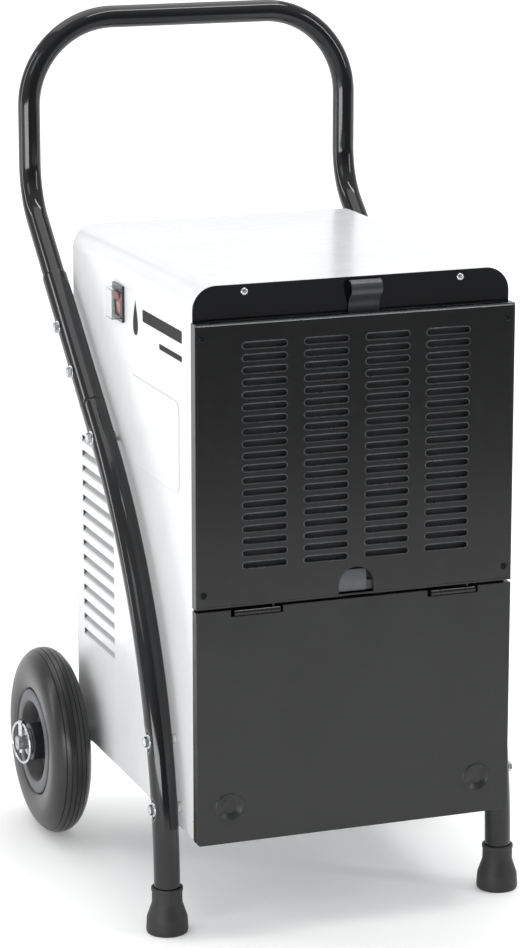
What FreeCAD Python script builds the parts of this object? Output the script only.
"""A wheeled commercial dehumidifier: painted steel case on a tubular trolley frame.

Frame: +Z up, the floor at z = 0, +X to the machine's right as seen from the front,
the front face towards -Y.  The origin is on the floor under the middle of the
overall box.  All sizes are millimetres unless an alias says otherwise.
"""
import FreeCAD, Part
import math
import os
import re
import Sketcher
from FreeCAD import Placement, Rotation, Vector

doc = FreeCAD.newDocument("Dehumidifier")

# ---------------------------------------- driving sizes
SIZES = (
    ("front_lap", 2),           # cover and door stand past the case on each side
    ("cover_depth", 13),        # cover and door stand this far off the front panel
    ("cover_drop", 36),         # case top down to the cover's top
    ("door_top", 361),
    ("door_bottom", 110),
    ("door_gap", 3),            # between the door and the cover above it
    ("door_depth", 12),         # the door clears the front panel as it swings
    ("door_corner", 4),
    ("skin", 1.2),              # sheet of cover, door and case
    ("plate", 1.5),             # sheet of front, rear and inner panels
    ("case_width", 346),
    ("case_top", 696),
    ("case_bottom", 112),
    ("case_corner", 25),        # outer radius of the long top edges
    ("case_back", 417),         # front face to rear face
    ("slot_length", 47.6),
    ("slot_height", 6),
    ("slot_pitch_x", 67),
    ("slot_pitch_z", 12.7),
    ("slot_first_z", 406.9),
    ("slot_rows", 19),
    ("notch_width", 39),        # finger notch at the cover's foot
    ("notch_height", 30.5),
    ("cover_screw_inset_x", 8),
    ("cover_screw_inset_z", 15),
    ("screw_hole", 4.4),
    ("screw_shank", 4),
    ("screw_head", 7.5),
    ("screw_head_height", 1.2),
    ("spacer_radius", 4.5),
    ("louvre_count", 14),
    ("louvre_pitch", 17.2),
    ("louvre_height", 8),
    ("louvre_length", 112),
    ("louvre_front", 280),
    ("louvre_foot", 232),
    ("louvre_reach", 6),        # how far each flap leans inwards
    ("boss_length", 156),       # plain pressed panel on each side
    ("boss_height", 97),
    ("boss_front", 56),
    ("boss_foot", 472),
    ("boss_proud", 0.8),
    ("leg_gap", 3),             # between the tube frame and the case
    ("leg_wall", 1.5),
    ("handle_tube", 25),
    ("handle_wall", 1.5),
    ("tube_play", 0.15),        # handle tube inside its socket, per side
    ("socket_wall", 1.35),
    ("handle_back", 522),       # front face to the handle uprights
    ("handle_top", 912),
    ("grip_bend", 98),
    ("upper_bend", 80),
    ("lower_bend", 580),
    ("slant", 49.2),            # degrees from upright
    ("leg_front", 55),          # front face to the foot centre
    ("slant_foot", 311),        # where the slanted and upright centre lines cross
    ("socket_foot", 518),
    ("socket_top", 636),
    ("tube_lap", 15),           # handle tube runs this far past the socket seam
    ("bolt_shank", 6),
    ("bolt_hole", 6.5),
    ("bolt_head", 11),
    ("bolt_head_height", 5),
    ("foot_flare", 8.5),        # ferrule's base past the tube, per side
    ("foot_wall", 2.25),        # ferrule's neck
    ("foot_height", 50),
    ("foot_base_height", 22),
    ("foot_sole", 6),
    ("wheel_back", 408),        # front face to the axle
    ("wheel_width", 46),
    ("collar_length", 14.3),    # case side to the inner washer
    ("rim_radius", 60),
    ("rim_well", 45),
    ("rim_width", 40),
    ("hub_radius", 21),
    ("axle_radius", 8),
    ("bush_wall", 2),
    ("axle_play", 0.05),        # radial, bush on axle
    ("axle_end", 5.5),          # axle past the linch pin
    ("pin_gap", 6.4),           # outer washer to the linch pin
    ("bracket_flange", 1.8),
    ("pin_radius", 2.6),
    ("pin_play", 0.1),
    ("ring_radius", 23),        # centre line of the linch pin's wire ring
    ("ring_wire", 1.5),
    ("ring_yaw", 9),            # degrees, the ring stands a little askew
    ("washer_radius", 15),
    ("washer_thick", 2.5),
    ("side_play", 0.4),         # washer to hub
    ("hinge_x", 109),
    ("hinge_width", 50),
    ("knuckle_radius", 3.2),
    ("knuckle_back", 1),        # hinge axis behind the front face
    ("knuckle_drop", 3.4),      # hinge axis below the door's top edge
    ("knuckle_end", 10),        # length of each outer knuckle
    ("knuckle_gap", 0.4),
    ("knuckle_relief", 3.5),    # notch past each end of the knuckles
    ("pintle_radius", 1.5),
    ("pintle_play", 0.05),
    ("leaf_height", 20),
    ("dimple_x", 139),
    ("dimple_z", 149),
    ("dimple_radius", 13),
    ("dimple_depth", 1),
    ("filter_side", 16),        # filter edge in from the cover's side
    ("filter_thick", 5),
    ("filter_back", 9),         # front face to the filter's rear face
    ("filter_foot", 368),
    ("filter_play", 0.8),
    ("filter_drop", 5),         # filter's top below the cover's top
    ("filter_border", 10),
    ("tab_x", 11),
    ("tab_width", 34),
    ("tab_sheet", 1.2),
    ("switch_y", 250),
    ("switch_z", 639),
    ("bezel_width", 34),
    ("bezel_height", 39),
    ("bezel_proud", 3),
    ("rocker_width", 17),
    ("rocker_height", 27),
    ("rocker_travel", 16),      # degrees
    ("cap_rise", 10),
    ("intake_foot", 385),
    ("intake_drop", 18),        # window's top below the cover's top
    ("intake_rim", 23),
    ("bay_top", 340),           # tank bay behind the door
    ("bay_foot", 130),
    ("bay_rim", 15),
    ("tray_rise", 4),           # base tray above the case's lower edge
    ("tray_wall", 12),
    ("deck_z", 352),            # shelf between tank bay and heat exchangers
    ("coil_clear", 28),         # case side to the fins, room for return bends
    ("coil_height", 240),
    ("coil_foot", 392),
    ("evaporator_front", 24),
    ("evaporator_thick", 38),
    ("condenser_front", 72),
    ("condenser_thick", 38),
    ("shroud_front", 128),
    ("fan_z", 512),
    ("fan_radius", 105),
    ("fan_front", 136),
    ("fan_thick", 34),
    ("throat_gap", 7),          # blade tips to the shroud
    ("motor_front", 176),
    ("motor_length", 72),
    ("motor_radius", 44),
    ("motor_shaft", 5),
    ("tank_side", 8),           # tank in from the bay window, per side
    ("tank_front", 22),
    ("tank_depth", 150),
    ("tank_foot", 132),
    ("tank_height", 185),
    ("tank_wall", 2.5),
    ("wall_back", 186),         # partition between tank bay and compressor
    ("compressor_x", 55),
    ("compressor_back", 300),
    ("compressor_radius", 68),
    ("compressor_height", 190),
    ("compressor_foot", 136),
    ("compressor_top", 326),
    ("compressor_plate", 75),   # half width of its foot plate
    ("tube_pitch", 24),         # between the tubes of a coil
    ("tube_first", 404),
    ("coil_tube", 4.8),
    ("pipe_radius", 4),
    ("discharge_x", 95),
    ("discharge_y", 300),
    ("discharge_z", 372),
    ("suction_x", 20),
    ("suction_y", 330),
    ("suction_z", 386),
    ("gland_x", -120),
    ("gland_z", 150),
    ("gland_radius", 12),
    ("drain_x", -100),
    ("drain_y", 40),
    ("float_x", -90),
    ("float_y", 178),
    ("float_z", 330),
    ("float_radius", 12),
)

# ---------------------------------------- derived places
PLACES = (
    ("face", "-(handle_back + handle_tube / 2 - knuckle_radius + knuckle_back) / 2"),
    ("case_half", "case_width / 2"),
    ("front_half", "case_half + front_lap"),
    ("front_width", "2 * front_half"),
    ("cover_top", "case_top - cover_drop"),
    ("filter_width", "2 * (front_half - filter_side)"),
    ("filter_top", "cover_top - filter_drop"),
    ("intake_top", "cover_top - intake_drop"),
    ("intake_half", "case_half - intake_rim"),
    ("bay_half", "case_half - bay_rim"),
    ("tank_width", "2 * (bay_half - tank_side)"),
    ("tray_foot", "case_bottom + tray_rise"),
    ("coil_width", "2 * (case_half - coil_clear)"),
    ("fan_throat", "fan_radius + throat_gap"),
    ("leg_tube", "handle_tube + 2 * (tube_play + socket_wall)"),
    ("tube_x", "case_half + leg_gap + leg_tube / 2"),
    ("foot_base", "leg_tube + 2 * foot_flare"),
    ("foot_neck", "leg_tube + 2 * foot_wall"),
    ("axle_z", "tray_foot - bracket_flange - 0.2 - axle_radius"),
    ("wheel_radius", "axle_z"),
    ("wheel_x", "case_half + collar_length + washer_thick + side_play + 0.5 + rim_width / 2"),
    ("pin_x", "wheel_x + rim_width / 2 + 4.5 + side_play + washer_thick + pin_gap"),
    ("axle_reach", "pin_x + axle_end"),
    ("panel_y", "face + cover_depth"),
    ("case_y", "face + cover_depth + plate"),
    ("back_y", "face + case_back"),
    ("case_length", "case_back - cover_depth - 2 * plate"),
    ("cover_bottom", "door_top + door_gap"),
    ("cover_height", "cover_top - cover_bottom"),
    ("door_height", "door_top - door_bottom"),
    ("hinge_y", "face + knuckle_back"),
    ("hinge_z", "door_top - knuckle_drop"),
    ("leg_y", "face + leg_front"),
    ("handle_y", "face + handle_back"),
    ("arc_foot", "slant_foot - lower_bend * tan(slant / 2)"),
    ("arc_top", "slant_foot + lower_bend * tan(slant / 2) * cos(slant)"),
    ("seam_y", "leg_y + (socket_foot - slant_foot) * tan(slant)"),
    ("socket_y", "leg_y + (socket_top - slant_foot) * tan(slant)"),
    ("elbow_z", "slant_foot + (handle_back - leg_front) / tan(slant)"),
    ("axle_y", "face + wheel_back"),
    ("fan_y", "face + fan_front"),
    ("cover_screw_x", "front_half - cover_screw_inset_x"),
    ("cover_screw_low", "cover_bottom + cover_screw_inset_z"),
    ("cover_screw_high", "cover_top - cover_screw_inset_z"),
    ("slot_first_x", "-1.5 * slot_pitch_x - slot_length / 2"),
    ("tab_foot", "filter_top"),
    ("pin_top", "axle_z + ring_radius"),
    ("deck_top", "deck_z + plate"),
    ("inner_half", "case_half - skin"),
    ("rear_y", "back_y - plate"),
    ("tray_top", "tray_foot + plate"),
    ("core_half", "coil_width / 2 - 0.5"),
    ("plate_end", "coil_width / 2 + 1"),
    ("evaporator_y", "face + evaporator_front"),
    ("condenser_y", "face + condenser_front"),
    ("shroud_y", "face + shroud_front"),
    ("motor_y", "face + motor_front"),
    ("compressor_y", "face + compressor_back"),
)


def fill_sheet(name, rows, formula):
    """A sheet with one aliased cell for each named row."""
    sheet = doc.addObject("Spreadsheet::Sheet", name)
    for row, (alias, value) in enumerate(rows, start=1):
        sheet.set("A%d" % row, alias)
        sheet.set("B%d" % row, "=" + ex(value) if formula else str(value))
        sheet.setAlias("B%d" % row, alias)
    return sheet


REFERENCES = {alias: "Sizes." + alias for alias, _ in SIZES}
REFERENCES.update({alias: "Places." + alias for alias, _ in PLACES})


def ex(text):
    """The same sum with every size name turned into its sheet reference."""
    return re.sub(r"[a-z_]\w*", lambda word: REFERENCES.get(word.group(), word.group()), text)


sizes = fill_sheet("Sizes", SIZES, False)
places = fill_sheet("Places", PLACES, True)
doc.recompute()


def mm(alias):
    """The present number behind a name of either sheet."""
    sheet = sizes if REFERENCES[alias].startswith("Sizes") else places
    return float(sheet.get(alias))


# ---------------------------------------- shorthand for document objects
ALONG = {
    "x": Rotation(Vector(0, 1, 0), 90),
    "y": Rotation(Vector(1, 0, 0), -90),
    "z": Rotation(),
}
nodes = []


def node(obj, label):
    """Marks a document object as a finished sub-part."""
    obj.Label = label
    if obj.Label != label:
        raise RuntimeError("two objects named " + label)
    nodes.append(obj)
    return obj


def put(obj, corner):
    """Ties the object's place to the sheets."""
    for axis, text in zip("xyz", corner):
        obj.setExpression("Placement.Base." + axis, ex(text))
    return obj


def box(name, corner, size):
    """A block from its lowest corner and its three lengths."""
    obj = doc.addObject("Part::Box", name)
    for prop, text in zip(("Length", "Width", "Height"), size):
        obj.setExpression(prop, ex(text))
    return put(obj, corner)


def rod(name, axis, start, radius, length):
    """A round bar that starts at a point and runs along +x, +y or +z."""
    obj = doc.addObject("Part::Cylinder", name)
    obj.Placement = Placement(Vector(), ALONG[axis])
    obj.setExpression("Radius", ex(radius))
    obj.setExpression("Height", ex(length))
    return put(obj, start)


def ring(name, axis, start, outer, inner, length):
    """A round bar with a bore."""
    blank = rod(name + "_blank", axis, start, outer, length)
    return cut(name, blank, rod(name + "_bore", axis, start, inner, length))


def fuse(name, pieces):
    obj = doc.addObject("Part::MultiFuse", name)
    obj.Shapes = list(pieces)
    obj.Refine = True
    return obj


def group(name, pieces):
    """Separate solids that share one node."""
    obj = doc.addObject("Part::Compound", name)
    obj.Links = list(pieces)
    return obj


def cut(name, base, *tools):
    obj = doc.addObject("Part::Cut", name)
    obj.Base = base
    obj.Tool = tools[0] if len(tools) == 1 else fuse(name + "_tools", tools)
    return obj


def plain(name, shape):
    """A shape from Part's own functions: bent pipes, turned sections and fan blades."""
    obj = doc.addObject("Part::Feature", name)
    obj.Shape = shape
    return obj


def wedge(name, corner, foot, top, height, length):
    """A leaning strip: foot and top are its (low x, high x), it runs back by length."""
    obj = doc.addObject("Part::Wedge", name)
    obj.Placement = Placement(Vector(), Rotation(Vector(1, 0, 0), 90))
    pairs = (("Xmin", foot[0]), ("Xmax", foot[1]), ("X2min", top[0]), ("X2max", top[1]),
             ("Ymin", "0"), ("Ymax", height), ("Zmin", "-(%s)" % length), ("Zmax", "0"),
             ("Z2min", "-(%s)" % length), ("Z2max", "0"))
    for prop, text in pairs:
        obj.setExpression(prop, ex(text))
    return put(obj, corner)


def cone(name, start, low, high, height):
    """An upright cone from a low radius to a high one."""
    obj = doc.addObject("Part::Cone", name)
    for prop, text in (("Radius1", low), ("Radius2", high), ("Height", height)):
        obj.setExpression(prop, ex(text))
    return put(obj, start)


def arched(name, inset, start, length, foot):
    """A block with the case's section and rounded top edges, inset all round."""
    flat = "case_half - case_corner"
    level = "case_top - case_corner"
    pieces = [
        box(name + "_low", ("%s - case_half" % inset, start, foot),
            ("case_width - 2 * (%s)" % inset, length, "%s - (%s)" % (level, foot))),
        box(name + "_high", ("-(%s)" % flat, start, level + " - 1"),
            ("2 * (%s)" % flat, length, "case_corner + 1 - (%s)" % inset)),
        rod(name + "_left", "y", ("-(%s)" % flat, start, level), "case_corner - (%s)" % inset, length),
        rod(name + "_right", "y", (flat, start, level), "case_corner - (%s)" % inset, length),
    ]
    return fuse(name, pieces)


def bent_path(points, radii):
    """A wire of straight runs with an arc of the given radius at each inner corner."""
    points = [Vector(*point) for point in points]
    edges = []
    start = points[0]
    for before, corner, after, radius in zip(points, points[1:], points[2:], radii):
        back = (before - corner).normalize()
        ahead = (after - corner).normalize()
        half = back.getAngle(ahead) / 2
        enter = corner + back * (radius / math.tan(half))
        leave = corner + ahead * (radius / math.tan(half))
        middle = corner + (back + ahead).normalize() * (radius / math.sin(half) - radius)
        if (enter - start).Length > 1e-3:
            edges.append(Part.LineSegment(start, enter).toShape())
        edges.append(Part.Arc(enter, middle, leave).toShape())
        start = leave
    if (points[-1] - start).Length > 1e-3:
        edges.append(Part.LineSegment(start, points[-1]).toShape())
    return Part.Wire(edges)


def swept(path, radius):
    """A round bar along a wire."""
    first = path.Edges[0]
    heading = first.tangentAt(first.FirstParameter)
    section = Part.Wire([Part.makeCircle(radius, first.valueAt(first.FirstParameter), heading)])
    return path.makePipeShell([section], True, False)


def turned(edges, centre, axis):
    """The solid that a closed outline sweeps round an axis."""
    solid = Part.Face(Part.Wire(edges)).revolve(centre, axis, 360)
    if solid.Volume < 0:
        solid.reverse()
    return solid


def body(name):
    obj = doc.addObject("PartDesign::Body", name)
    return node(obj, name)


def sketch(owner, name, plane, lift="0"):
    """A sketch on one of its body's origin planes, lifted along that plane's normal."""
    obj = owner.newObject("Sketcher::SketchObject", name)
    datum = next(f for f in owner.Origin.OriginFeatures if f.Role == plane)
    obj.AttachmentSupport = [(datum, "")]
    obj.MapMode = "FlatFace"
    obj.setExpression("AttachmentOffset.Base.z", ex(lift))
    return obj


def tie(sk, kind, *where, near=10.0):
    """Adds one constraint; a last argument in words binds its value to the sheets."""
    *spots, text = where
    if not isinstance(text, str):
        sk.addConstraint(Sketcher.Constraint(kind, *where))
        return
    index = sk.addConstraint(Sketcher.Constraint(kind, *spots, near))
    sk.setExpression("Constraints[%d]" % index, ex(text))


def segment(sk, start, end):
    return sk.addGeometry(Part.LineSegment(Vector(*start, 0), Vector(*end, 0)), False)


def rectangle(sk, left, low, width, height):
    """A rectangle held by its lower left corner, width and height."""
    corners = ((0, 0), (10, 0), (10, 10), (0, 10))
    edges = [segment(sk, corners[i], corners[(i + 1) % 4]) for i in range(4)]
    for i in range(4):
        tie(sk, "Coincident", edges[i], 2, edges[(i + 1) % 4], 1)
        tie(sk, "Vertical" if i % 2 else "Horizontal", edges[i])
    tie(sk, "DistanceX", -1, 1, edges[0], 1, left)
    tie(sk, "DistanceY", -1, 1, edges[0], 1, low)
    tie(sk, "DistanceX", edges[0], 1, edges[0], 2, width)
    tie(sk, "DistanceY", edges[1], 1, edges[1], 2, height)


def circle(sk, x, y, radius):
    """A circle held by its centre and radius."""
    index = sk.addGeometry(Part.Circle(Vector(1, 1, 0), Vector(0, 0, 1), 2), False)
    tie(sk, "DistanceX", -1, 1, index, 3, x)
    tie(sk, "DistanceY", -1, 1, index, 3, y)
    tie(sk, "Radius", index, radius)


def slot(sk, shift, left, middle, length, height):
    """A level slot with half-round ends; left, middle, length and height are sheet names.

    Its left end lies one shift (sum in words, present value) to the right of left.
    """
    text, step = shift
    radius = mm(height) / 2
    x0 = mm(left) + step + radius
    x1 = x0 + mm(length) - 2 * radius
    z = mm(middle)
    upright = Vector(0, 0, 1)
    low = segment(sk, (x0, z - radius), (x1, z - radius))
    high = segment(sk, (x1, z + radius), (x0, z + radius))
    right = sk.addGeometry(Part.ArcOfCircle(
        Part.Circle(Vector(x1, z, 0), upright, radius), -math.pi / 2, math.pi / 2), False)
    back = sk.addGeometry(Part.ArcOfCircle(
        Part.Circle(Vector(x0, z, 0), upright, radius), math.pi / 2, 1.5 * math.pi), False)
    tie(sk, "Tangent", low, 2, right, 1)
    tie(sk, "Tangent", right, 2, high, 1)
    tie(sk, "Tangent", high, 2, back, 1)
    tie(sk, "Tangent", back, 2, low, 1)
    tie(sk, "Horizontal", low)
    tie(sk, "DistanceX", -1, 1, back, 3, "%s + %s + %s / 2" % (left, text, height), near=x0)
    tie(sk, "DistanceY", -1, 1, back, 3, middle, near=z)
    tie(sk, "DistanceX", back, 3, right, 3, "%s - %s" % (length, height), near=x1 - x0)
    tie(sk, "Radius", back, "%s / 2" % height, near=radius)


def pad(owner, name, profile, length, reverse=False):
    obj = owner.newObject("PartDesign::Pad", name)
    obj.Profile = profile
    obj.Reversed = reverse
    obj.setExpression("Length", ex(length))
    return obj


def pocket(owner, name, profile, depth, reverse=False):
    obj = owner.newObject("PartDesign::Pocket", name)
    obj.Profile = profile
    obj.Reversed = reverse
    obj.setExpression("Length", ex(depth))
    return obj


# ---------------------------------------- front cover with its grille
cover = body("grille_cover")
outline = sketch(cover, "cover_outline", "XZ_Plane", "-face")
rectangle(outline, "-front_half", "cover_bottom", "front_width", "cover_height")
pad(cover, "cover_blank", outline, "cover_depth", reverse=True)
hollow = sketch(cover, "cover_hollow_outline", "XZ_Plane", "-face - skin")
rectangle(hollow, "-front_half + skin", "cover_bottom + skin", "front_width - 2 * skin",
          "cover_height - 2 * skin")
pocket(cover, "cover_hollow", hollow, "cover_depth")
filter_slit = sketch(cover, "filter_slit_outline", "XY_Plane", "cover_top")
rectangle(filter_slit, "-filter_width / 2 - filter_play", "face + skin", "filter_width + 2 * filter_play",
          "filter_back - skin + filter_play")
pocket(cover, "filter_slit", filter_slit, "2 * skin")
tab_notch = sketch(cover, "tab_notch_outline", "XY_Plane", "cover_top")
rectangle(tab_notch, "tab_x - tab_width / 2 - filter_play", "face + filter_back",
          "tab_width + 2 * filter_play",
          "cover_depth - filter_back + 1")
pocket(cover, "tab_notch", tab_notch, "2 * skin")
finger_low = sketch(cover, "finger_notch_low_outline", "XZ_Plane", "-face")
rectangle(finger_low, "-notch_width / 2", "cover_bottom + skin", "notch_width",
          "notch_height - notch_width / 2 - skin")
pocket(cover, "finger_notch_low", finger_low, "2 * skin")
finger_arch = sketch(cover, "finger_notch_arch_outline", "XZ_Plane", "-face")
circle(finger_arch, "0", "cover_bottom + notch_height - notch_width / 2", "notch_width / 2")
pocket(cover, "finger_notch_arch", finger_arch, "2 * skin")
screw_holes = sketch(cover, "cover_screw_hole_outline", "XZ_Plane", "-face")
for side in ("-cover_screw_x", "cover_screw_x"):
    for level in ("cover_screw_low", "cover_screw_high"):
        circle(screw_holes, side, level, "screw_hole / 2")
pocket(cover, "cover_screw_holes", screw_holes, "2 * skin")
slot_row = sketch(cover, "slot_row_outline", "XZ_Plane", "-face")
for column in range(4):
    shift = ("%d * slot_pitch_x" % column, column * mm("slot_pitch_x"))
    slot(slot_row, shift, "slot_first_x", "slot_first_z", "slot_length", "slot_height")
row_cut = pocket(cover, "slot_row", slot_row, "2 * skin")
rows = cover.newObject("PartDesign::LinearPattern", "slot_rows")
rows.Originals = [row_cut]
rows.Direction = (slot_row, ["V_Axis"])
rows.setExpression("Length", ex("(slot_rows - 1) * slot_pitch_z"))
rows.setExpression("Occurrences", ex("slot_rows"))
cover.Tip = rows

node(group("cover_screws_group", [
    fuse("cover_screw_%d%d" % (i, j), [
        rod("cover_screw_head_%d%d" % (i, j), "y", (x, "face - screw_head_height", z), "screw_head / 2",
            "screw_head_height"),
        rod("cover_screw_shank_%d%d" % (i, j), "y", (x, "face", z), "screw_shank / 2",
            "cover_depth + plate + 6"),
    ])
    for i, x in enumerate(("-cover_screw_x", "cover_screw_x"))
    for j, z in enumerate(("cover_screw_low", "cover_screw_high"))
]), "cover_screws")
node(group("cover_spacers_group", [
    ring("cover_spacer_%d%d" % (i, j), "y", (x, "face + skin", z), "spacer_radius", "screw_hole / 2",
         "cover_depth - skin")
    for i, x in enumerate(("-cover_screw_x", "cover_screw_x"))
    for j, z in enumerate(("cover_screw_low", "cover_screw_high"))
]), "cover_spacers")

# ---------------------------------------- lower door, a shallow folded tray
door = body("door_panel")
outline = sketch(door, "door_outline", "XZ_Plane", "-face")
rectangle(outline, "-front_half", "door_bottom", "front_width", "door_height")
pad(door, "door_blank", outline, "door_depth", reverse=True)
dimples = sketch(door, "dimple_outline", "XZ_Plane", "-face - skin")
hollow = sketch(door, "door_hollow_outline", "XZ_Plane", "-face - skin")
rectangle(hollow, "-front_half + skin", "door_bottom + skin", "front_width - 2 * skin",
          "door_height - 2 * skin")
pocket(door, "door_hollow", hollow, "door_depth")
doc.recompute()


def lower_corners(feature, inset):
    """Names of the two front-to-back edges at a panel's lower corners, inset from its outline."""
    found = []
    for number, edge in enumerate(feature.Shape.Edges, start=1):
        ends = [vertex.Point for vertex in edge.Vertexes]
        if len(ends) == 2 and abs(ends[0].y - ends[1].y) > 5:
            if all(abs(abs(p.x) - mm("front_half") + inset) < 0.01 and abs(p.z - mm("door_bottom") - inset) < 0.01 for p in ends):
                found.append("Edge%d" % number)
    return found


for name, inset, radius in (("door_outer_corners", 0, "door_corner"),
                            ("door_inner_corners", mm("skin"), "door_corner - skin")):
    below = door.Tip
    rounding = door.newObject("PartDesign::Fillet", name)
    rounding.Base = (below, lower_corners(below, inset))
    rounding.setExpression("Radius", ex(radius))
    doc.recompute()
for side in ("-dimple_x", "dimple_x"):
    circle(dimples, side, "dimple_z", "dimple_radius + skin")
pad(door, "dimple_backs", dimples, "dimple_depth", reverse=True)
presses = sketch(door, "dimple_press_outline", "XZ_Plane", "-face")
for side in ("-dimple_x", "dimple_x"):
    circle(presses, side, "dimple_z", "dimple_radius")
pocket(door, "dimples", presses, "dimple_depth")
gaps = sketch(door, "knuckle_gap_outline", "XZ_Plane", "-face")
for side in ("-hinge_x", "hinge_x"):
    rectangle(gaps, side + " - hinge_width / 2 - knuckle_relief", "hinge_z - knuckle_radius - knuckle_gap",
              "hinge_width + 2 * knuckle_relief", "door_top - hinge_z + knuckle_radius + 1")
pocket(door, "knuckle_gaps", gaps, "door_depth + 1")

HINGES = (("left", "-hinge_x"), ("right", "hinge_x"))


def knuckle(name, start, length):
    return rod(name, "x", (start, "hinge_y", "hinge_z"), "knuckle_radius", length)


def hinge_bore(name, middle, play):
    return rod(name, "x", (middle + " - hinge_width", "hinge_y", "hinge_z"), "pintle_radius" + play,
               "2 * hinge_width")


def door_leaf(side, middle):
    """Leaf behind the door's skin, with a knuckle at each end."""
    plate = box(side + "_door_leaf_plate", (middle + " - hinge_width / 2", "face + skin",
                                            "hinge_z - leaf_height"),
                ("hinge_width", "skin", "leaf_height - knuckle_radius - knuckle_gap"))
    webs = [box("%s_door_leaf_web_%d" % (side, i), (start, "face + skin", "hinge_z - leaf_height / 2"),
                ("knuckle_end", "skin", "leaf_height / 2 - pintle_radius"))
            for i, start in enumerate((middle + " - hinge_width / 2",
                                       middle + " + hinge_width / 2 - knuckle_end"))]
    knuckles = [knuckle("%s_door_knuckle_%d" % (side, i), start, "knuckle_end")
                for i, start in enumerate((middle + " - hinge_width / 2",
                                           middle + " + hinge_width / 2 - knuckle_end"))]
    solid = fuse(side + "_door_leaf_solid", [plate, *webs, *knuckles])
    return cut(side + "_door_leaf", solid, hinge_bore(side + "_door_leaf_bore", middle, ""))


def frame_leaf(side, middle):
    """Leaf on the front panel that carries the middle knuckle through the door's notch."""
    start = middle + " - hinge_width / 2 + knuckle_end + knuckle_gap"
    width = "hinge_width - 2 * knuckle_end - 2 * knuckle_gap"
    arm = box(side + "_frame_leaf_arm", (start, "hinge_y", "hinge_z + knuckle_radius - skin"),
              (width, "cover_depth - knuckle_back", "skin"))
    flange = box(side + "_frame_leaf_flange", (start, "panel_y - skin", "hinge_z - leaf_height / 2"),
                 (width, "skin", "leaf_height / 2 + knuckle_radius"))
    solid = fuse(side + "_frame_leaf_solid", [arm, flange, knuckle(side + "_frame_knuckle", start, width)])
    return cut(side + "_frame_leaf", solid, hinge_bore(side + "_frame_leaf_bore", middle, " + pintle_play"))


node(group("door_leaves_group", [door_leaf(*hinge) for hinge in HINGES]), "door_hinge_leaves")
node(group("frame_leaves_group", [frame_leaf(*hinge) for hinge in HINGES]), "frame_hinge_leaves")
node(group("hinge_pins_group", [
    rod(side + "_hinge_pin", "x", (middle + " - hinge_width / 2", "hinge_y", "hinge_z"),
        "pintle_radius", "hinge_width")
    for side, middle in HINGES
]), "hinge_pins")

# ---------------------------------------- case: one folded sheet over both sides and the top
SIDES = (("left", -1), ("right", 1))
shell = cut("wrap_shell", arched("wrap_outer", "0", "case_y", "case_length", "case_bottom"),
            arched("wrap_inner", "skin", "case_y - 1", "case_length + 2", "case_bottom - 1"))


def louvre_foot(row):
    return "louvre_foot + %d * louvre_pitch" % row


def boss(side, sign):
    """A plain pressed panel with rounded corners, standing proud of the side."""
    low = "case_half - 0.2" if sign > 0 else "-case_half - boss_proud"
    thick = "boss_proud + 0.2"
    name = side + "_boss"
    pieces = [
        box(name + "_long", (low, "face + boss_front", "boss_foot + 10"),
            (thick, "boss_length", "boss_height - 20")),
        box(name + "_tall", (low, "face + boss_front + 10", "boss_foot"),
            (thick, "boss_length - 20", "boss_height")),
    ]
    for i, y in enumerate(("face + boss_front + 10", "face + boss_front + boss_length - 10")):
        for j, z in enumerate(("boss_foot + 10", "boss_foot + boss_height - 10")):
            pieces.append(rod("%s_corner_%d%d" % (name, i, j), "x", (low, y, z), "10", thick))
    return fuse(name, pieces)


def louvre_flap(side, sign, row):
    """A flap hinged along its slot's foot and pressed inwards."""
    near = ("0", "skin + 0.2") if sign < 0 else ("-skin - 0.2", "0")
    far = ("louvre_reach", "louvre_reach + skin + 0.2") if sign < 0 else ("-louvre_reach - skin - 0.2",
                                                                          "-louvre_reach")
    corner = ("%d * case_half" % sign, "face + louvre_front", louvre_foot(row) + " - 0.6")
    return wedge("%s_louvre_flap_%d" % (side, row), corner, near, far, "louvre_height + 0.6",
                 "louvre_length")


def leg_place(height):
    """Front-to-back place of the frame's centre line at a height, in words."""
    if height > mm("arc_top"):
        return "leg_y + (%g - slant_foot) * tan(slant)" % height
    return "leg_y + lower_bend - sqrt(lower_bend * lower_bend - (%g - arc_foot) * (%g - arc_foot))" % (height, height)


CASE_BOLTS = (490, 204, 134)
CLAMP_BOLTS = (589.5, 548.7)
rows = range(int(mm("louvre_count")))
openings = [box("louvre_slot_%d" % row, ("-case_half - 5", "face + louvre_front", louvre_foot(row)),
                ("case_width + 10", "louvre_length", "louvre_height")) for row in rows]
openings += [rod("case_bolt_hole_%d" % i, "x", ("-case_half - 5", leg_place(height), "%g" % height),
                 "bolt_hole / 2",
                 "case_width + 10") for i, height in enumerate(CASE_BOLTS)]
openings.append(box("switch_opening", ("-case_half - 5", "face + switch_y - bezel_width / 2 + 3",
                                       "switch_z - 16"),
                    ("10", "bezel_width - 6", "32")))
openings.append(rod("axle_notch", "x", ("-case_half - 5", "axle_y", "axle_z"), "axle_radius + 1.5",
                    "case_width + 10"))
pierced = cut("wrap_pierced", shell, *openings)
node(fuse("housing_wrap_fused", [pierced] + [boss(*side) for side in SIDES]
          + [louvre_flap(*side, row) for side in SIDES for row in rows]), "housing_wrap")

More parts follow.
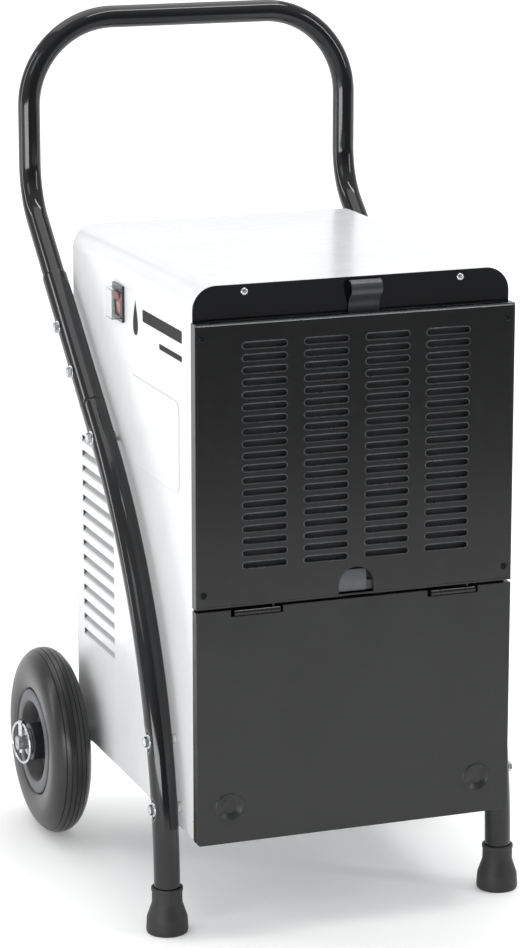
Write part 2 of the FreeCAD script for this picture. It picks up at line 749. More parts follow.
# ---------------------------------------- front panel behind cover and door
blank = arched("front_panel_blank", "0", "panel_y", "plate", "case_bottom")
windows = [
    box("intake_window", ("-intake_half", "panel_y - 1", "intake_foot"),
        ("2 * intake_half", "plate + 2", "intake_top - intake_foot")),
    box("bay_window", ("-bay_half", "panel_y - 1", "bay_foot"),
        ("2 * bay_half", "plate + 2", "bay_top - bay_foot")),
]
for i, x in enumerate(("-cover_screw_x", "cover_screw_x")):
    for j, z in enumerate(("cover_screw_low", "cover_screw_high")):
        windows.append(rod("front_panel_hole_%d%d" % (i, j), "y", (x, "panel_y - 1", z),
                           "screw_shank / 2 + 0.2", "plate + 2"))
for i, x in enumerate(("-118", "118")):
    windows.append(rod("front_panel_top_hole_%d" % i, "y", (x, "panel_y - 1", "case_top - 7.5"),
                       "screw_shank / 2", "plate + 2"))
node(cut("front_panel_cut", blank, *windows), "front_panel")
node(group("panel_screws_group", [
    fuse("panel_screw_%d" % i, [
        rod("panel_screw_head_%d" % i, "y", (x, "panel_y - 2.4", "case_top - 7.5"), "4", "2.4"),
        rod("panel_screw_shank_%d" % i, "y", (x, "panel_y", "case_top - 7.5"), "screw_shank / 2", "12"),
    ]) for i, x in enumerate(("-118", "118"))
]), "panel_screws")
node(group("edge_clips_group", [
    box(side + "_edge_clip", (start, "face + door_depth + 0.6", "118"), ("1.6", "7", "14"))
    for side, start in (("left", "-case_half - 1.6"), ("right", "case_half"))
]), "edge_clips")

# ---------------------------------------- rear panel with the exhaust slots and the mains inlet
blank = arched("rear_panel_blank", "0", "rear_y", "plate", "case_bottom")
holes = [rod("gland_hole", "y", ("gland_x", "rear_y - 1", "gland_z"), "gland_radius - 2", "plate + 2")]
for row in range(-7, 8):
    reach = "sqrt(fan_radius * fan_radius - %g)" % (row * 12.5) ** 2
    for side, start in (("left", "-(%s)" % reach), ("right", "4")):
        holes.append(box("%s_exhaust_%d" % (side, row + 7), (start, "rear_y - 1",
                                                             "fan_z + %g" % (row * 12.5 - 3)),
                         (reach + " - 4", "plate + 2", "6")))
node(cut("rear_panel_cut", blank, *holes), "rear_panel")
node(cut("cable_gland_cut", fuse("cable_gland_solid", [
    rod("gland_nut", "y", ("gland_x", "rear_y - 5", "gland_z"), "gland_radius", "5"),
    rod("gland_barrel", "y", ("gland_x", "rear_y", "gland_z"), "gland_radius - 2", "plate"),
    rod("gland_cap", "y", ("gland_x", "back_y", "gland_z"), "gland_radius", "12"),
]), rod("gland_bore", "y", ("gland_x", "rear_y - 6", "gland_z"), "5", "30")), "cable_gland")

# ---------------------------------------- base tray, tank bay and shelf
tray = box("tray_blank", ("-inner_half", "case_y", "tray_foot"),
           ("2 * inner_half", "case_length", "tray_wall + plate"))
tray = cut("tray_folded", tray, box("tray_hollow", ("plate - inner_half", "case_y + plate", "tray_top"),
                                    ("2 * (inner_half - plate)", "case_length - 2 * plate",
                                     "tray_wall + 1")))
rails = [box(side + "_tank_rail", ("%d * (tank_width / 2 - 20) - 8" % sign, "face + tank_front",
                                   "tray_top - 0.2"),
             ("16", "tank_depth", "tank_foot - tray_top + 0.2")) for side, sign in SIDES]
node(fuse("base_tray_fused", [tray] + rails), "base_tray")
node(cut("water_tank_cut",
         box("tank_blank", ("-tank_width / 2", "face + tank_front", "tank_foot"),
             ("tank_width", "tank_depth", "tank_height")),
         box("tank_hollow", ("tank_wall - tank_width / 2", "face + tank_front + tank_wall",
                             "tank_foot + tank_wall"),
             ("tank_width - 2 * tank_wall", "tank_depth - 2 * tank_wall", "tank_height"))), "water_tank")
node(box("bay_wall_plate", ("plate - inner_half", "face + wall_back", "tray_top"),
         ("2 * (inner_half - plate)", "plate", "deck_z - tray_top")), "bay_wall")
shelf = box("deck_blank", ("-inner_half", "case_y", "deck_z"), ("2 * inner_half", "case_length", "plate"))
shelf_cuts = [box("deck_notch_" + side, (start, "face + louvre_front - 4", "deck_z - 1"),
                  ("10", "louvre_length + 8", "plate + 2"))
              for side, start in (("left", "-inner_half - 2"), ("right", "inner_half - 8"))]
shelf_cuts += [
    rod("drain_hole", "z", ("drain_x", "face + drain_y", "deck_z - 1"), "8", "plate + 2"),
    rod("discharge_hole", "z", ("discharge_x", "face + discharge_y", "deck_z - 1"), "pipe_radius + 4",
        "plate + 2"),
    rod("suction_hole", "z", ("suction_x", "face + suction_y", "deck_z - 1"), "pipe_radius + 4",
        "plate + 2"),
]
node(cut("deck_cut", shelf, *shelf_cuts), "deck")

# ---------------------------------------- float switch over the tank
float_place = ("float_x", "face + float_y", "float_z")
bracket = fuse("float_bracket_solid", [
    box("float_bracket_plate", ("float_x - 12", "face + wall_back - plate", "float_z - 10"),
        ("24", "plate", "20")),
    box("float_ear_left", ("float_x - 8.5", "face + float_y - 4", "float_z - 4"),
        ("3", "wall_back - float_y + 3", "8")),
    box("float_ear_right", ("float_x + 5.5", "face + float_y - 4", "float_z - 4"),
        ("3", "wall_back - float_y + 3", "8")),
])
float_bore = rod("float_ear_bore", "x", ("float_x - 20", "face + float_y", "float_z"), "pintle_radius",
                 "40")
float_pin = rod("float_pin", "x", ("float_x - 8.5", "face + float_y", "float_z"), "pintle_radius", "17")
node(group("float_bracket_group", [cut("float_bracket_cut", bracket, float_bore), float_pin]),
     "float_bracket")
arm = fuse("float_arm_solid", [
    rod("float_arm_boss", "x", ("float_x - 5", "face + float_y", "float_z"), "3.4", "10"),
    box("float_arm_bar", ("float_x - 3", "face + float_y - 51", "float_z - 1.5"), ("6", "50", "3")),
    box("float_arm_drop", ("float_x - 3", "face + float_y - 51", "float_z - 30"), ("6", "3", "31.5")),
])
node(cut("float_arm_cut", arm, rod("float_arm_bore", "x", ("float_x - 20", "face + float_y", "float_z"),
                                   "pintle_radius + pintle_play", "40")), "float_arm")
node(rod("float_drum_can", "z", ("float_x", "face + float_y - 49.5", "float_z - 45"), "float_radius",
         "15"), "float_drum")

# ---------------------------------------- heat exchangers
node(box("evaporator_core", ("-core_half", "evaporator_y", "coil_foot"),
         ("2 * core_half", "evaporator_thick", "coil_height")),
     "evaporator_fins")
node(box("condenser_core", ("-core_half", "condenser_y", "coil_foot"),
         ("2 * core_half", "condenser_thick", "coil_height")),
     "condenser_fins")
plates = []
for coil in ("evaporator", "condenser"):
    for side, start in (("left", "-plate_end"), ("right", "core_half")):
        plates.append(box("%s_%s_plate" % (coil, side), (start, coil + "_y", "deck_top"),
                          ("plate_end - core_half", coil + "_thick", "coil_foot + coil_height - deck_top")))
node(group("coil_plates_group", plates), "coil_end_plates")


def return_bend(name, sign, coil, lower):
    """Half a ring joining two neighbouring tubes of one coil."""
    obj = doc.addObject("Part::Torus", name)
    obj.Placement = Placement(Vector(), Rotation(Vector(0, 0, 1), Vector(sign, 0, 0),
                                                 Vector(0, sign, 0), "XYZ"))
    obj.setExpression("Radius1", ex("tube_pitch / 2"))
    obj.setExpression("Radius2", ex("coil_tube"))
    obj.Angle3 = 180
    middle = "tube_first + %g * tube_pitch" % (lower + 0.5)
    return put(obj, ("%d * plate_end" % sign, "%s_y + %s_thick / 2" % (coil, coil), middle))


bends = []
for coil in ("evaporator", "condenser"):
    for lower in range(9):
        sign = -1 if lower % 2 == 0 else 1
        bends.append(return_bend("%s_bend_%d" % (coil, lower), sign, coil, lower))
node(group("coil_bends_group", bends), "coil_bends")
tray = box("drip_blank", ("1.5 - coil_width / 2", "evaporator_y - 5", "deck_top"),
           ("coil_width - 3", "evaporator_thick + 11", "30"))
tray = cut("drip_folded", tray, box("drip_hollow", ("2.7 - coil_width / 2", "evaporator_y - 3.8",
                                                    "deck_top + 1.2"),
                                    ("coil_width - 5.4", "evaporator_thick + 8.6", "30")))
spout = rod("drip_spout", "z", ("drain_x", "face + drain_y", "float_z"), "6", "deck_top - float_z + 0.5")
node(cut("drip_tray_cut", fuse("drip_tray_solid", [tray, spout]),
         rod("drip_spout_bore", "z", ("drain_x", "face + drain_y", "float_z - 1"), "4", "40")), "drip_tray")

# ---------------------------------------- refrigerant circuit
core_y = {coil: mm(coil + "_y") + mm(coil + "_thick") / 2 for coil in ("evaporator", "condenser")}
top_tube = mm("tube_first") + 9 * mm("tube_pitch")
discharge = bent_path([
    (mm("discharge_x"), mm("face") + mm("discharge_y"), mm("compressor_top")),
    (mm("discharge_x"), mm("face") + mm("discharge_y"), mm("discharge_z")),
    (mm("plate_end") + 6, mm("face") + mm("discharge_y"), mm("discharge_z")),
    (mm("plate_end") + 6, core_y["condenser"], mm("discharge_z")),
    (mm("plate_end") + 6, core_y["condenser"], mm("tube_first")),
    (mm("plate_end"), core_y["condenser"], mm("tube_first")),
], (12, 12, 12, 6))
suction = bent_path([
    (mm("suction_x"), mm("face") + mm("suction_y"), mm("compressor_top")),
    (mm("suction_x"), mm("face") + mm("suction_y"), mm("suction_z")),
    (mm("plate_end") + 18, mm("face") + mm("suction_y"), mm("suction_z")),
    (mm("plate_end") + 18, core_y["evaporator"], mm("suction_z")),
    (mm("plate_end") + 18, core_y["evaporator"], mm("tube_first")),
    (mm("plate_end"), core_y["evaporator"], mm("tube_first")),
], (12, 12, 8, 8))
capillary = bent_path([
    (mm("plate_end"), core_y["condenser"], top_tube),
    (mm("plate_end") + 10, core_y["condenser"], top_tube),
    (mm("plate_end") + 10, core_y["evaporator"], top_tube),
    (mm("plate_end"), core_y["evaporator"], top_tube),
], (6, 6))
node(group("refrigerant_pipes_group", [
    plain("discharge_pipe", swept(discharge, mm("pipe_radius"))),
    plain("suction_pipe", swept(suction, mm("pipe_radius"))),
    plain("capillary_pipe", swept(capillary, 1.5)),
]), "refrigerant_pipes")
place = Vector(mm("compressor_x"), mm("compressor_y"), mm("compressor_foot") + 3)
pot = Part.makeCylinder(mm("compressor_radius"), mm("compressor_top") - place.z, place)
pot = pot.makeFillet(12, [edge for edge in pot.Edges if len(edge.Vertexes) == 1])
foot = box("compressor_foot_plate", ("compressor_x - compressor_plate",
                                     "compressor_y - compressor_plate", "compressor_foot"),
           ("2 * compressor_plate", "2 * compressor_plate", "3.2"))
corners = [(i, j) for i in (-1, 1) for j in (-1, 1)]
foot = cut("compressor_foot_drilled", foot, *[
    rod("compressor_foot_hole_%d%d" % (i + 1, j + 1), "z",
        ("compressor_x + %d * 64" % i, "compressor_y + %d * 64" % j,
         "compressor_foot - 1"), "3.5", "6") for i, j in corners])
node(fuse("compressor_fused", [plain("compressor_pot", pot), foot]), "compressor")
node(group("compressor_mounts_group", [
    ring("compressor_mount_%d%d" % (i + 1, j + 1), "z", ("compressor_x + %d * 64" % i,
                                                         "compressor_y + %d * 64" % j, "tray_top"),
         "9", "3", "compressor_foot - tray_top") for i, j in corners]), "compressor_mounts")
node(group("compressor_bolts_group", [
    fuse("compressor_bolt_%d%d" % (i + 1, j + 1), [
        rod("compressor_bolt_shank_%d%d" % (i + 1, j + 1), "z",
            ("compressor_x + %d * 64" % i, "compressor_y + %d * 64" % j,
             "tray_top"), "3", "compressor_foot - tray_top + 4"),
        rod("compressor_bolt_head_%d%d" % (i + 1, j + 1), "z",
            ("compressor_x + %d * 64" % i, "compressor_y + %d * 64" % j,
             "compressor_foot + 3.2"), "6", "4"),
    ]) for i, j in corners]), "compressor_bolts")

# ---------------------------------------- fan and its motor
shroud = box("shroud_blank", ("-inner_half", "shroud_y", "deck_top"),
             ("2 * inner_half", "plate", "cover_top - deck_top"))
node(cut("fan_shroud_cut", shroud,
         rod("shroud_throat", "y", ("0", "shroud_y - 1", "fan_z"), "fan_throat", "plate + 2"),
         rod("shroud_discharge_hole", "y", ("plate_end + 6", "shroud_y - 1", "discharge_z"),
             "pipe_radius + 1.5", "plate + 2"),
         rod("shroud_suction_hole", "y", ("plate_end + 18", "shroud_y - 1", "suction_z"),
             "pipe_radius + 1.5", "plate + 2"),
         ), "fan_shroud")
hub = Part.makeCylinder(32, mm("fan_thick"), Vector(0, mm("fan_y"), mm("fan_z")), Vector(0, 1, 0))
limit = Part.makeCylinder(mm("fan_radius"), mm("fan_thick"), Vector(0, mm("fan_y"), mm("fan_z")),
                          Vector(0, 1, 0))
chord = 1.6 * mm("fan_thick")
blades = []
for i in range(5):
    blade = Part.makeBox(chord, 2.5, mm("fan_radius"), Vector(-chord / 2, -1.25, 25))
    blade.rotate(Vector(), Vector(0, 0, 1), 35)
    blade.rotate(Vector(), Vector(0, 1, 0), 72 * i)
    blade.translate(Vector(0, mm("fan_y") + mm("fan_thick") / 2, mm("fan_z")))
    blades.append(blade.common(limit))
node(cut("fan_rotor_cut", plain("fan_rotor_solid", hub.multiFuse(blades)),
         rod("fan_rotor_bore", "y", ("0", "fan_y - 1", "fan_z"), "motor_shaft",
             "fan_thick + 2")), "fan_rotor")
node(rod("fan_shaft_rod", "y", ("0", "fan_y", "fan_z"), "motor_shaft",
         "motor_front - fan_front + motor_length - 8"), "fan_shaft")
node(cut("fan_motor_cut", rod("fan_motor_can", "y", ("0", "motor_y", "fan_z"), "motor_radius",
                              "motor_length"),
         rod("fan_motor_bore", "y", ("0", "motor_y - 1", "fan_z"), "motor_shaft + axle_play",
             "motor_length - 6")), "fan_motor")
stand = box("motor_stand_blank", ("-30", "motor_y + 14", "deck_top"),
            ("60", "45", "fan_z - motor_radius + 12 - deck_top"))
node(cut("motor_stand_cut", stand,
         box("motor_stand_hollow", ("-27.5", "motor_y + 10", "deck_top + 2.5"),
             ("55", "55", "fan_z - motor_radius - 8 - deck_top")),
         rod("motor_saddle", "y", ("0", "motor_y", "fan_z"), "motor_radius",
             "motor_length")), "motor_stand")

# ---------------------------------------- control box, board and capacitor
housing = box("control_box_blank", ("-inner_half", "face + 275", "560"), ("84", "110", "110"))
node(cut("control_box_cut", housing, box("control_box_hollow", ("2 - inner_half", "face + 277", "562"),
                                         ("90", "106", "106"))),
     "control_box")
board = [box("board_sheet", ("-124", "face + 280", "565"), ("1.6", "100", "100"))]
board += [rod("board_post_%d%d" % (i, j), "x", ("2 - inner_half", y, z), "3", "inner_half - 125.9")
          for i, y in enumerate(("face + 286", "face + 374")) for j, z in enumerate(("571", "659"))]
board += [box("board_relay_%d" % i, ("-122.4", "face + %g" % (292 + 26 * i), "590"),
              ("16", "18", "28")) for i in range(3)]
node(fuse("circuit_board_fused", board), "circuit_board")
node(rod("capacitor_can", "z", ("-60", "face + 330", "deck_top"), "17", "66"), "run_capacitor")

# ---------------------------------------- trolley frame of bent tube
slant_run = Vector(0, math.sin(math.radians(mm("slant"))), math.cos(math.radians(mm("slant"))))


def frame_point(side, y, z):
    return Vector(side * mm("tube_x"), mm(y), mm(z) if isinstance(z, str) else z)


def tube(name, path, outer, wall):
    return plain(name, swept(path, outer / 2).cut(swept(path, outer / 2 - wall)))


legs = []
sockets = []
for side, sign in SIDES:
    seam = frame_point(sign, "seam_y", "socket_foot")
    sole = frame_point(sign, "leg_y", "foot_sole")
    knee = frame_point(sign, "leg_y", "slant_foot")
    upper = frame_point(sign, "socket_y", "socket_top")
    legs.append(tube(side + "_leg_blank", bent_path([sole, knee, seam], [mm("lower_bend")]),
                     mm("leg_tube"), mm("leg_wall")))
    straight = bent_path([seam, upper], [])
    inner = mm("handle_tube") / 2 + mm("tube_play")
    sockets.append(tube(side + "_socket_blank", straight, mm("leg_tube"), mm("leg_tube") / 2 - inner))
start = frame_point(-1, "seam_y", "socket_foot") + slant_run * mm("tube_lap")
finish = frame_point(1, "seam_y", "socket_foot") + slant_run * mm("tube_lap")
grip = bent_path([
    start, frame_point(-1, "handle_y", "elbow_z"), frame_point(-1, "handle_y", "handle_top"),
    frame_point(1, "handle_y", "handle_top"), frame_point(1, "handle_y", "elbow_z"), finish,
], [mm("upper_bend"), mm("grip_bend"), mm("grip_bend"), mm("upper_bend")])
grip_blank = tube("grip_blank", grip, mm("handle_tube"), mm("handle_wall"))


def bolt_cuts(name, side, sign, height, inner_seat):
    """Through hole and flat seats for one bolt in one side of the frame."""
    place = leg_place(height)
    level = "%g" % height
    name = "%s_%s_%g" % (side, name, height)
    outer = "tube_x + leg_tube / 2 - 0.5" if sign > 0 else "-tube_x - leg_tube / 2 - 1.5"
    tools = [
        rod(name + "_hole", "x", ("%d * tube_x - leg_tube" % sign, place, level), "bolt_hole / 2",
            "2 * leg_tube"),
        rod(name + "_seat", "x", (outer, place, level), "bolt_head / 2 + 0.6", "2"),
    ]
    if inner_seat:
        low = "tube_x - leg_tube / 2 - 1.5" if sign > 0 else "-tube_x + leg_tube / 2 - 0.5"
        tools.append(rod(name + "_spacer_seat", "x", (low, place, level), "8.4", "2"))
    return tools


drilled_legs = []
drilled_sockets = []
for (side, sign), leg, socket in zip(SIDES, legs, sockets):
    case_tools = [tool for height in CASE_BOLTS for tool in bolt_cuts("case_bolt", side, sign, height,
                                                                      True)]
    clamp_tools = [tool for height in CLAMP_BOLTS for tool in bolt_cuts("clamp_bolt", side, sign,
                                                                        height, False)]
    drilled_legs.append(cut(side + "_leg_drilled", leg, *case_tools))
    drilled_sockets.append(cut(side + "_socket_drilled", socket, *clamp_tools))
node(group("leg_tubes_group", drilled_legs), "leg_tubes")
node(group("handle_sockets_group", drilled_sockets), "handle_sockets")
clamp_holes = [rod("handle_hole_%g" % height, "x", ("-250", leg_place(height), "%g" % height),
                   "bolt_hole / 2", "500")
               for height in CLAMP_BOLTS]
node(cut("handle_tube_cut", grip_blank, *clamp_holes), "handle_bar")


def leg_bolt(side, sign, height, depth):
    """A bolt with its head outside the tube and its shank running towards the case."""
    name = "%s_bolt_%g" % (side, height)
    place = leg_place(height)
    seat = "tube_x + leg_tube / 2 - 0.5"
    head = seat if sign > 0 else "-(%s) - bolt_head_height" % seat
    shank = "%s - (%s)" % (seat, depth) if sign > 0 else "-(%s)" % seat
    return fuse(name, [
        rod(name + "_head", "x", (head, place, "%g" % height), "bolt_head / 2", "bolt_head_height"),
        rod(name + "_shank", "x", (shank, place, "%g" % height), "bolt_shank / 2", depth),
    ])


node(group("leg_bolts_group", [leg_bolt(*side, height,
        "leg_tube + leg_gap + skin + 5.8") for side in SIDES for height in CASE_BOLTS]
           + [leg_bolt(*side, height,
                       "leg_tube - 1") for side in SIDES for height in CLAMP_BOLTS]), "leg_bolts")
node(group("leg_spacers_group", [
    ring("%s_spacer_%g" % (side, height), "x",
         ("case_half" if sign > 0 else "-tube_x + leg_tube / 2 - 0.5", leg_place(height), "%g" % height),
         "5.5", "bolt_hole / 2", "tube_x - leg_tube / 2 + 0.5 - case_half")
    for side, sign in SIDES for height in CASE_BOLTS]), "leg_spacers")


def foot(side, sign):
    """A rubber ferrule pushed over the end of a leg."""
    x = "%d * tube_x" % sign
    solid = fuse(side + "_foot_solid", [
        rod(side + "_foot_base", "z", (x, "leg_y", "0"), "foot_base / 2", "foot_base_height"),
        cone(side + "_foot_shoulder", (x, "leg_y", "foot_base_height"), "foot_base / 2",
             "foot_neck / 2", "5"),
        rod(side + "_foot_neck", "z", (x, "leg_y", "foot_base_height"), "foot_neck / 2",
            "foot_height - foot_base_height"),
    ])
    return cut(side + "_foot", solid, plain(side + "_foot_bore", swept(bent_path(
        [frame_point(sign, "leg_y", "foot_sole"), frame_point(sign, "leg_y", "slant_foot"),
         frame_point(sign, "seam_y", "socket_foot")],
        [mm("lower_bend")]), mm("leg_tube") / 2)))


node(group("feet_group", [foot(*side) for side in SIDES]), "feet")

# ---------------------------------------- axle and its fittings
axle = rod("axle_rod", "x", ("-axle_reach", "axle_y", "axle_z"), "axle_radius", "2 * axle_reach")
axle_tools = [rod(side + "_linch_hole", "z", ("%d * pin_x" % sign, "axle_y", "axle_z - 20"),
                  "pin_radius + pin_play", "40")
              for side, sign in SIDES]
node(cut("axle_cut", axle, *axle_tools), "axle")
brackets = []
for side, sign in SIDES:
    low = "case_half - 25" if sign > 0 else "22 - case_half"
    flange = "case_half - 25" if sign > 0 else "5 - case_half"
    brackets.append(cut(side + "_axle_bracket", fuse(side + "_axle_bracket_solid", [
        box(side + "_bracket_plate", (low, "axle_y - 25", "axle_z - 14"),
            ("3", "50", "tray_foot - axle_z + 14")),
        box(side + "_bracket_flange", (flange, "axle_y - 25", "axle_z + axle_radius + 0.2"),
            ("20", "50", "tray_foot - axle_z - axle_radius - 0.2")),
    ]), rod(side + "_bracket_bore", "x", (flange + " - 1", "axle_y", "axle_z"), "axle_radius", "30"),
        box(side + "_bracket_corner", (flange + " - 6", "rear_y - 0.2", "case_bottom - 0.5"),
            ("32", "30", "20"))))
node(group("axle_brackets_group", brackets), "axle_brackets")
collars = []
for side, sign in SIDES:
    hub_in = "wheel_x - rim_width / 2 - 0.5 - side_play"
    hub_out = "wheel_x + rim_width / 2 + 4.5 + side_play"
    spans = (("collar", "case_half", hub_in + " - washer_thick", "11"),
             ("inner_washer", hub_in + " - washer_thick", hub_in, "washer_radius"),
             ("outer_washer", hub_out, hub_out + " + washer_thick", "washer_radius"))
    for name, near, far, radius in spans:
        start = near if sign > 0 else "-(%s)" % far
        collars.append(ring("%s_%s" % (side, name), "x", (start, "axle_y", "axle_z"), radius,
                            "axle_radius", "%s - (%s)" % (far, near)))
node(group("axle_spacers_group", collars), "axle_spacers")

# ---------------------------------------- wheels: tyre on a moulded rim with a plain bearing
def wheel_outline(sign, points):
    """Edges through (across, outwards) points; a point written with three others is an arc's middle."""
    def spot(pair):
        return Vector(sign * (mm("wheel_x") + pair[0]), mm("axle_y"), mm("axle_z") + pair[1])

    edges = []
    for first, second in zip(points, points[1:] + points[:1]):
        if len(first) == 4:
            edges.append(Part.Arc(spot(first[:2]), spot(first[2:]), spot(second[:2])).toShape())
        else:
            edges.append(Part.LineSegment(spot(first[:2]), spot(second[:2])).toShape())
    return edges


wheel_centre = Vector(0, mm("axle_y"), mm("axle_z"))
crown = mm("wheel_radius")
half_tyre = mm("wheel_width") / 2
seat = mm("rim_radius")
well = mm("rim_well")
half_rim = mm("rim_width") / 2
hub_radius = mm("hub_radius")
bore = mm("axle_radius") + mm("axle_play")
TYRE = [
    (-half_tyre + 6, seat, -half_tyre, seat + 20), (-half_tyre + 5.5, crown - 9, 0, crown),
    (half_tyre - 5.5, crown - 9, half_tyre, seat + 20), (half_tyre - 6, seat),
]
RIM = [
    (half_rim, seat), (half_rim, well), (2, well - 7), (2, hub_radius), (half_rim + 4.5,
            hub_radius), (half_rim + 4.5, bore),
    (-half_rim - 0.5, bore), (-half_rim - 0.5, hub_radius), (-4, hub_radius), (-4,
            well - 7), (-half_rim, well), (-half_rim, seat),
]
for side, sign in SIDES:
    tyre = plain(side + "_tyre_blank", turned(wheel_outline(sign, TYRE), wheel_centre, Vector(1, 0, 0)))
    grooves = [
        ring("%s_groove_%d" % (side, i), "x", ("%d * wheel_x + %g" % (sign, u - 0.6), "axle_y", "axle_z"),
             "wheel_radius + 2", "wheel_radius - %g" % depth, "1.2")
        for i, (u, depth) in enumerate(((-9, 3.1), (-3, 1.4), (3, 1.4), (9, 3.1)))]
    node(cut(side + "_tyre_cut", tyre, *grooves), side + "_tyre")
    node(plain(side + "_rim_turned", turned(wheel_outline(sign, RIM), wheel_centre, Vector(1, 0, 0))),
         side + "_rim")

# ---------------------------------------- linch pins with their wire rings
pins = []
for side, sign in SIDES:
    x = "%d * pin_x" % sign
    along = Vector(-math.sin(math.radians(mm("ring_yaw"))),
                   sign * -math.cos(math.radians(mm("ring_yaw"))), 0)
    eye = Vector(sign * mm("pin_x"), mm("axle_y"), mm("pin_top"))
    solid = fuse(side + "_linch_solid", [
        rod(side + "_linch_shank", "z", (x, "axle_y", "axle_z - 12"), "pin_radius", "22"),
        rod(side + "_linch_head", "z", (x, "axle_y", "axle_z + axle_radius + 1"), "3.5",
            "ring_radius - axle_radius + 3"),
    ])
    bore_shape = Part.makeCylinder(mm("ring_wire") + 0.35, 12, eye - along * 6, along)
    pins.append(cut(side + "_linch_pin", solid, plain(side + "_linch_eye", bore_shape)))
    normal = along.cross(Vector(0, 0, 1))
    wire = Part.makeTorus(mm("ring_radius"), mm("ring_wire"), eye - Vector(0, 0, mm("ring_radius")), normal)
    node(plain(side + "_ring_wire", wire), side + "_linch_ring")
node(group("linch_pins_group", pins), "linch_pins")

# ---------------------------------------- air filter that lifts out of the cover's top
node(cut("filter_frame_cut",
         box("filter_blank", ("-filter_width / 2", "face + filter_back - filter_thick", "filter_foot"),
             ("filter_width", "filter_thick", "filter_top - filter_foot")),
         box("filter_opening", ("filter_border - filter_width / 2", "face", "filter_foot + filter_border"),
             ("filter_width - 2 * filter_border", "20",
              "filter_top - filter_foot - 2 * filter_border"))), "filter_frame")
node(box("filter_mesh_sheet", ("filter_border - filter_width / 2", "face + filter_back - 3",
                               "filter_foot + filter_border"),
         ("filter_width - 2 * filter_border", "1",
          "filter_top - filter_foot - 2 * filter_border")), "filter_mesh")


def strip_edge(run, offset, x):
    """One bank of a strip's run; a run is ("line", start, end) or ("arc", centre, radius, first, last).

    Places are (back from the face, up); angles go from backwards towards upwards.
    """
    if run[0] == "line":
        (y0, z0), (y1, z1) = run[1:]
        span = math.hypot(y1 - y0, z1 - z0)
        across = (-(z1 - z0) / span * offset, (y1 - y0) / span * offset)
        ends = [Vector(x, mm("face") + y + across[0], z + across[1]) for y, z in run[1:]]
        return Part.LineSegment(*ends).toShape()
    centre, radius, first, last = run[1:]
    radius += -offset if last > first else offset
    spots = [Vector(x, mm("face") + centre[0] + radius * math.cos(math.radians(a)),
                    centre[1] + radius * math.sin(math.radians(a)))
             for a in (first, (first + last) / 2, last)]
    return Part.Arc(*spots).toShape()


def strip(name, left, width, runs, thick):
    """A folded strip of sheet: its side view's runs thickened both ways, then a width along x."""
    near = [strip_edge(run, thick / 2, left) for run in runs]
    far = [strip_edge(run, -thick / 2, left) for run in runs]
    caps = [
        Part.LineSegment(near[0].firstVertex(True).Point, far[0].firstVertex(True).Point).toShape(),
        Part.LineSegment(near[-1].lastVertex(True).Point, far[-1].lastVertex(True).Point).toShape(),
    ]
    outline = Part.Wire(Part.__sortEdges__(near + far + caps))
    return plain(name, Part.Face(outline).extrude(Vector(width, 0, 0)))


tab_left = mm("tab_x") - mm("tab_width") / 2
base = mm("filter_top")
lean = math.radians(42)
leave = (-5 + 16 * math.cos(lean), base + 10 + 16 * math.sin(lean))
crest = (leave[0] - 5 * math.sin(lean), leave[1] + 5 * math.cos(lean))
curl = (crest[0] + 8 * math.cos(lean), crest[1] + 8 * math.sin(lean))
tab_runs = [
    ("line", (11, base - 3), (11, base + 10)), ("arc", (-5, base + 10), 16, 0, 42),
    ("line", leave, crest), ("arc", curl, 8, 222, 80),
]
foot_block = box("tab_foot_block", ("tab_x - tab_width / 2", "face + filter_back", "filter_top - 8"),
                 ("tab_width", "2.6", "8"))
node(fuse("filter_tab_fused", [strip("filter_tab_strip", tab_left, mm("tab_width"), tab_runs,
                                     mm("tab_sheet")), foot_block]),
     "filter_tab")
low = mm("filter_foot")
lip_runs = [("arc", (53.2, low + 12), 51, 192.45, 167.55)]
node(fuse("filter_lip_fused", [
    strip("filter_lip_strip", -22, 34, lip_runs, 1.2),
    box("filter_lip_web", ("-22", "face + 2.9", "filter_foot"),
        ("34", "filter_back - filter_thick - 2.9", "4")),
]), "filter_lip")

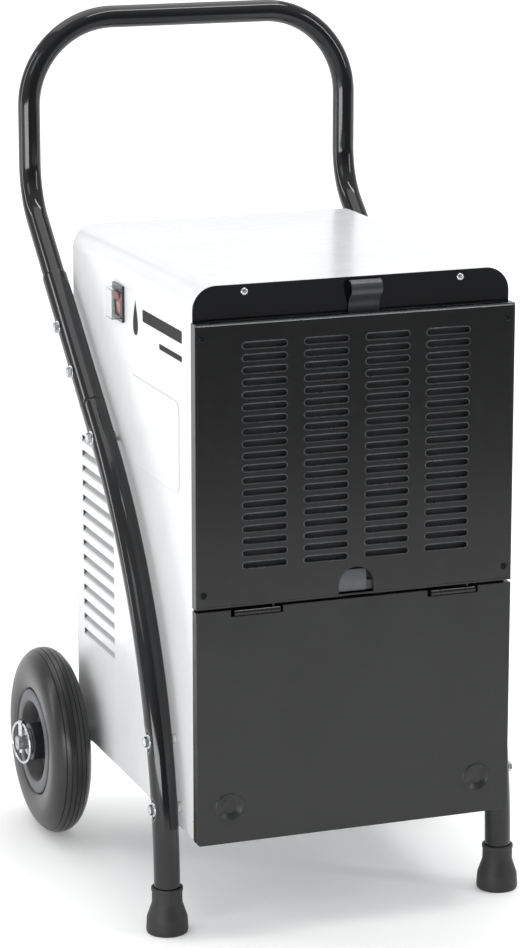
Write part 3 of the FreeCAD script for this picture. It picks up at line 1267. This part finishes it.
# ---------------------------------------- rocker switch under its splash cap, left side
plate_x = "-case_half - bezel_proud"
switch_solid = fuse("switch_solid", [
    box("bezel_plate", (plate_x, "face + switch_y - bezel_width / 2", "switch_z - bezel_height / 2"),
        ("bezel_proud", "bezel_width", "bezel_height")),
    box("switch_can", ("-case_half", "face + switch_y - 13.5", "switch_z - 15.5"), ("25", "27", "31")),
])
switch_hollow = box("switch_hollow", (plate_x + " - 1", "face + switch_y - rocker_width / 2 - 0.5",
                                      "switch_z - rocker_height / 2 - 0.6"),
                    ("bezel_proud + 11", "rocker_width + 1", "rocker_height + 1.2"))
pintle = [rod("rocker_pintle_" + name, "y", ("-case_half + 2", y, "switch_z"), "1.5", "3.2")
          for name, y in (("front", "face + switch_y - rocker_width / 2 - 1.5"),
                          ("back", "face + switch_y + rocker_width / 2 - 1.7"))]
node(fuse("switch_fused", [cut("switch_cut", switch_solid, switch_hollow)] + pintle), "switch_body")
pivot = Vector(-mm("case_half") + 2, mm("face") + mm("switch_y") - mm("rocker_width") / 2, mm("switch_z"))
half_rocker = mm("rocker_height") / 2
section = [(-7.5, half_rocker - 1.2), (-4, 0), (-3, 0.5 - half_rocker), (3, 3.5 - half_rocker),
           (3, half_rocker - 3.5)]
corners = [pivot + Vector(x, 0, z) for x, z in section]
wedge_shape = Part.Face(Part.makePolygon(corners + corners[:1])).extrude(Vector(0, mm("rocker_width"), 0))
node(cut("rocker_cut", plain("rocker_solid", wedge_shape),
         rod("rocker_bore", "y", ("-case_half + 2", "face + switch_y - 20", "switch_z"), "1.55",
             "40")), "rocker")
node(cut("splash_cap_cut",
         box("splash_cap_blank", (plate_x + " - cap_rise", "face + switch_y - 13", "switch_z - 16"),
             ("cap_rise", "26", "32")),
         box("splash_cap_hollow", (plate_x + " - cap_rise + 0.8", "face + switch_y - 12.2",
                                   "switch_z - 15.2"),
             ("cap_rise", "24.4", "30.4"))), "splash_cap")

# ---------------------------------------- check and export
doc.recompute()
for obj in doc.Objects:
    for word in ("Invalid", "Error"):
        if word in obj.State:
            raise RuntimeError("%s is %s" % (obj.Name, word))
os.makedirs("parts", exist_ok=True)
for obj in nodes:
    shape = obj.Shape
    if shape.isNull() or not shape.isValid() or not shape.Solids:
        raise RuntimeError("no sound shape in " + obj.Label)
    shape.exportStep("parts/%s.step" % obj.Label)
print("%d sub-parts written" % len(nodes))
